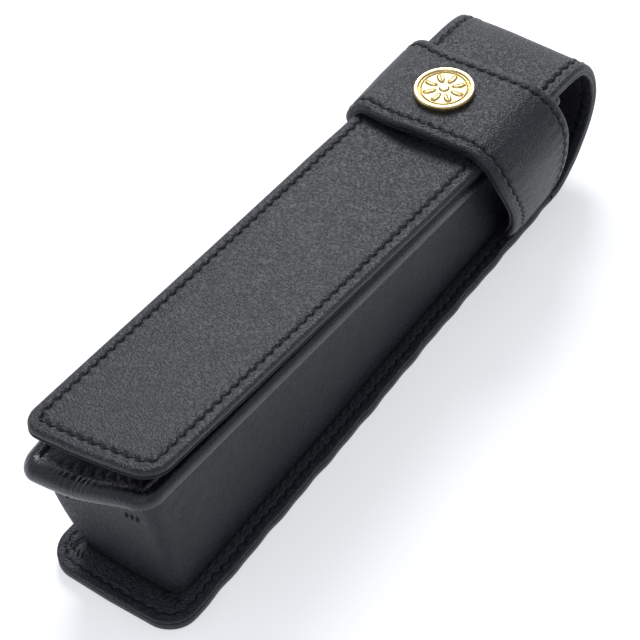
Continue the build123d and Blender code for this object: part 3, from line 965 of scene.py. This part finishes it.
def make_band():
    """Band over the flap, a little uneven down its sides, and its thread."""
    seam = Seam(2.7, depth=0.45, width=0.34)
    runs = np.linspace(0, band_length, 300)
    shares = (0.68, 0.5, 0.32)
    lip = [(inset, 0.0, 0.15 if inset < 2.4 else 0.0, 0.0, "top") for inset in near_groove(seam.inset)]
    lip += layered_edge(1.15, 80, 0.6, 0.35, 0.1, 0.12, 0.6)
    lip += [(inset, -strip_thick, 0.0, 0.0, "under") for inset in near_groove(seam.inset)[::-1]]
    section = [("mid", share, 0.12, 0.0, 0.0, "top") for share in shares]
    section += [("near", *row) for row in lip]
    section += [("mid", share, -strip_thick, 0.0, 0.0, "under") for share in shares[::-1]]
    section += [("far", *row) for row in lip[::-1]]
    rows, slots = strip_rows(section, seam, runs, band_place)
    _, _, dy, dz = along(band_path, band_run, runs)
    grid = np.array(rows.points)
    swell = 0.22 * crumple(grid, 13.0, 5) * fade(grid[..., 2], 39.2, -4)
    grid[..., 1] -= dz * swell
    grid[..., 2] += dy * swell
    rows.points = grid
    thing = mesh_object("keeper_band", rows, [black, inside], True, slots)
    sewn = thread_mesh("band_thread", edge_planes(band_place, seam, band_length, ("near", "far")), thread)
    on_case(sewn, "thread", "band_stitches")
    return on_case(thing, "black_leather", "keeper_band_leather", "keeper_band_lining")


band = make_band()


# ---- button ----
def make_button():
    """Stamped disc: a raised rim, a plain rosette and a centre boss."""
    radius = (button_high[0] - button_low[0]) / 2
    centre_x = (button_high[0] + button_low[0]) / 2
    base_z = button_low[2]
    face_z = button_high[2] - gold_relief
    petal_angle = 2 * pi / 8
    petal_middle, petal_long, petal_wide = 3.45, 1.75, 0.85
    boss_radius, rim_width = 1.25, 1.15
    angles = np.linspace(0, 2 * pi, 193)
    radii = np.concatenate([np.linspace(0.001, radius - 0.25, 60), [radius - 0.12, radius - 0.03, radius]])
    rows, painted_shades = [], []
    for r in radii:
        u = r * np.cos(angles)
        v = r * np.sin(angles)
        nearest = np.round(angles / petal_angle) * petal_angle
        outwards = u * np.cos(nearest) + v * np.sin(nearest) - petal_middle
        across = -u * np.sin(nearest) + v * np.cos(nearest)
        petal = smooth_step((1 - (outwards / petal_long) ** 2 - (across / petal_wide) ** 2) * 1.6)
        vein = 0.35 * hump(across, 0, 0.14) * petal
        boss = fade(r, boss_radius, -0.4)
        rim = fade(r, radius - rim_width, 0.3) * smooth_step((radius - r) / 0.25 + 0.2)
        inner_ring = 0.5 * hump(r, radius - 1.65, 0.14)
        relief = np.maximum(petal - vein, max(boss, rim, inner_ring))
        low_edge = max(0.0, (r - (radius - 0.2)) / 0.2) ** 2 * 0.25
        rows.append(np.stack([centre_x + u, v, face_z + gold_relief * relief - low_edge], axis=-1))
        # painted shade: heavy in the hollows between the raised relief, and a little on the sides and back
        # below
        painted_shades.append(np.clip(0.75 - relief * 1.3, 0, 1))
    for r, z in ((radius, base_z + 0.75), (radius, base_z + 0.35), (radius - 0.1, base_z + 0.12),
                 (radius - 0.35, base_z), (radius - 3, base_z), (0.001, base_z)):
        rows.append(np.stack([centre_x + r * np.cos(angles), r * np.sin(angles), z + 0 * angles], axis=-1))
        painted_shades.append(np.full(len(angles), 0.1))
    rows = np.array(rows)
    count, length = rows.shape[:2]
    faces = [(k * length + i, k * length + i + 1, (k + 1) * length + i + 1, (k + 1) * length + i)
             for k in range(count - 1) for i in range(length - 1)]
    mesh = bpy.data.meshes.new("button")
    mesh.from_pydata((rows.reshape(-1, 3) * MM).tolist(), [], faces)
    layer = mesh.attributes.new("painted_shade", "FLOAT", "POINT")
    layer.data.foreach_set("value", np.array(painted_shades, np.float32).ravel())
    clean(mesh, 0.004)
    on_case(link(mesh, [gold]), "gold_plate", "button_cap")


make_button()


# ---- rows of thread round the panels ----
def sew_case(name, planes, *nodes, **shape):
    """Thread that stays with the case."""
    on_case(thread_mesh(name, planes, thread, **shape), "thread", *nodes)


def clear_of_band(spot):
    """Whether a stitch of the flange lies outside the band's foot."""
    return not band_foot_near_x - 1.5 < spot[0] < band_far_x + 1.0


sew_case("flange_thread", seam_planes(gusset_outline, gusset_seam, base_place, flange_top - stitch_sink,
                                      keep=clear_of_band), "flange_stitches")
sew_case("base_thread", seam_planes(base_outline, base_seam, base_place, 0.34, up_sign=-1.0))
sew_case("front_thread", seam_planes(lip_outline, lip_seam, lip_place, panel_face - 0.25),
         "front_panel_stitches", length=1.7, radius=0.18, slant=8.0)


def surface(thing):
    """Tree of a mesh for finding places on it."""
    points = [v.co.copy() for v in thing.data.vertices]
    return BVHTree.FromPolygons(points, [tuple(p.vertices) for p in thing.data.polygons])


def tack(tree, start, look, step, direction, count):
    """A few parallel stitches laid on a mesh where a ray from outside meets it."""
    planes = []
    for index in range(count):
        origin = (np.array(start, float) + np.array(step, float) * (index - (count - 1) / 2)) * MM
        spot, normal, _, _ = tree.ray_cast(Vector(origin), Vector(look))
        if spot is not None:
            up = np.array(normal) * (-1 if normal.dot(Vector(look)) > 0 else 1)
            planes.append((np.array(spot) / MM - 0.05 * up, direction, up))
    return planes


def wall_tack(y, rise, step):
    """A bar tack high on the end wall, where it meets the rolled edge."""
    planes = []
    for index in (-1, 0, 1):
        spots = [gusset_wall(share, 0.0) for share in (rise, rise + 0.04)]
        # the point of each ring nearest to y, among those on the end wall
        low, high = (ring[np.argmin(abs(ring[:, 1] - y - index * step)
                                    + 1000 * (ring[:, 0] > wall_near + 5))] for ring in spots)
        planes.append((low, high - low, (-1, 0, 0.2)))
    return planes


gusset_tree = surface(gusset)
flange_tacks, front_tacks, mouth_tacks = [], [], []
for side in (-1, 1):
    flange_tacks += tack(gusset_tree, (wall_near - 2.6, side * (wall_half - 1.0), 5), (0, 0, -1),
                         (0.3, 1.25, 0), (1, side * 0.5, 0), 4)
    front_tacks += wall_tack(side * (wall_half - 5.5), 0.75, 1.6)
    mouth_tacks += tack(gusset_tree, (mouth_x - 1.6, side * (wall_half + flange_half) / 2, 20), (0, 0, -1),
                        (1.0, 0, 0), (0, 1, 0), 3)
sew_case("flange_tacks", flange_tacks, "flange_bar_tacks", length=3.0, slant=0.0)
sew_case("front_tacks", front_tacks, "front_bar_tacks", length=2.4, slant=0.0)
sew_case("mouth_tacks", mouth_tacks, "mouth_bar_tacks", length=3.2, slant=0.0)

flap_planes = seam_planes(flap_outline, flap_seam, flap_place, -stitch_sink)
flap_planes += seam_planes(flap_outline, flap_seam, flap_place, -strip_thick + stitch_sink, up_sign=-1.0)
flap_thread = thread_mesh("flap_thread", flap_planes, thread)
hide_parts("flap_front_stitches")

# ---- flap and fold, with their thread: transforms baked into their meshes ----
for piece in (flap, flap_thread):
    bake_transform(piece)
for piece in (fold, fold_thread):
    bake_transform(piece)

# ---- finishes on the CAD nodes that stay in view ----
for node, finish in (("back_panel_lining", inside), ("button_post", brass), ("button_washer", brass)):
    for place in frame["nodes"][node].material_slots:
        place.material = finish


# ---- floor, light and camera ----
def make_floor():
    """Pale floor just under the case, which glows a little so that it comes out nearly white."""
    bpy.ops.mesh.primitive_plane_add(size=6, location=(0, 0, -0.05 * MM))
    floor = bpy.context.object
    floor.name = "floor"
    nodes = Nodes("floor")
    nodes.shade(Base_Color=(0.76, 0.77, 0.79, 1), Roughness=0.9, Specular_IOR_Level=0.1,
                Emission_Color=(1, 1, 1, 1), Emission_Strength=0.47)
    floor.data.materials.append(nodes.material)


def softbox(name, toward, distance, size, power):
    """Square area light in a direction, facing the object."""
    data = bpy.data.lights.new(name, "AREA")
    data.shape = "SQUARE"
    data.size = size
    data.energy = power
    light = bpy.data.objects.new(name, data)
    bpy.context.scene.collection.objects.link(light)
    direction = Vector(toward).normalized()
    light.location = direction * distance
    light.rotation_euler = direction.to_track_quat("Z", "Y").to_euler()


make_floor()
softbox("key", (0.62, 0.43, 0.66), distance=1.0, size=0.40, power=6.5)
softbox("fill", (-0.8, -0.2, 0.9), distance=1.3, size=0.8, power=1.4)
world = bpy.data.worlds.new("studio")
world.use_nodes = True
sky = world.node_tree.nodes["Background"].inputs
sky["Color"].default_value = (0.88, 0.93, 1.0, 1)
sky["Strength"].default_value = 0.55
bpy.context.scene.world = world
bpy.context.scene.view_settings.view_transform = "Standard"


def make_camera():
    """Camera above the near right corner, rolled a little, aimed at the middle of the case."""
    azimuth, elevation, roll = (radians(value) for value in (-51.16, 46.31, -5.9))
    distance, aim, aside, below = 543.5 * MM, Vector((-2.75, 0, 15)) * MM, 0.9 * MM, 2.55 * MM
    forward = Vector((-np.sin(azimuth) * np.cos(elevation), np.cos(azimuth) * np.cos(elevation),
                      -np.sin(elevation)))
    right = Vector((np.cos(azimuth), np.sin(azimuth), 0))
    up = right.cross(forward)
    across = right * np.cos(roll) + up * np.sin(roll)
    upward = up * np.cos(roll) - right * np.sin(roll)
    data = bpy.data.cameras.new("camera")
    data.sensor_width = 36
    data.lens = 137.47
    data.clip_end = 20
    camera = bpy.data.objects.new("camera", data)
    place = aim - forward * distance - across * aside - upward * below
    turn = Matrix((across, upward, -forward)).transposed().to_4x4()
    camera.matrix_world = Matrix.Translation(place) @ turn
    bpy.context.scene.collection.objects.link(camera)
    bpy.context.scene.camera = camera


make_camera()
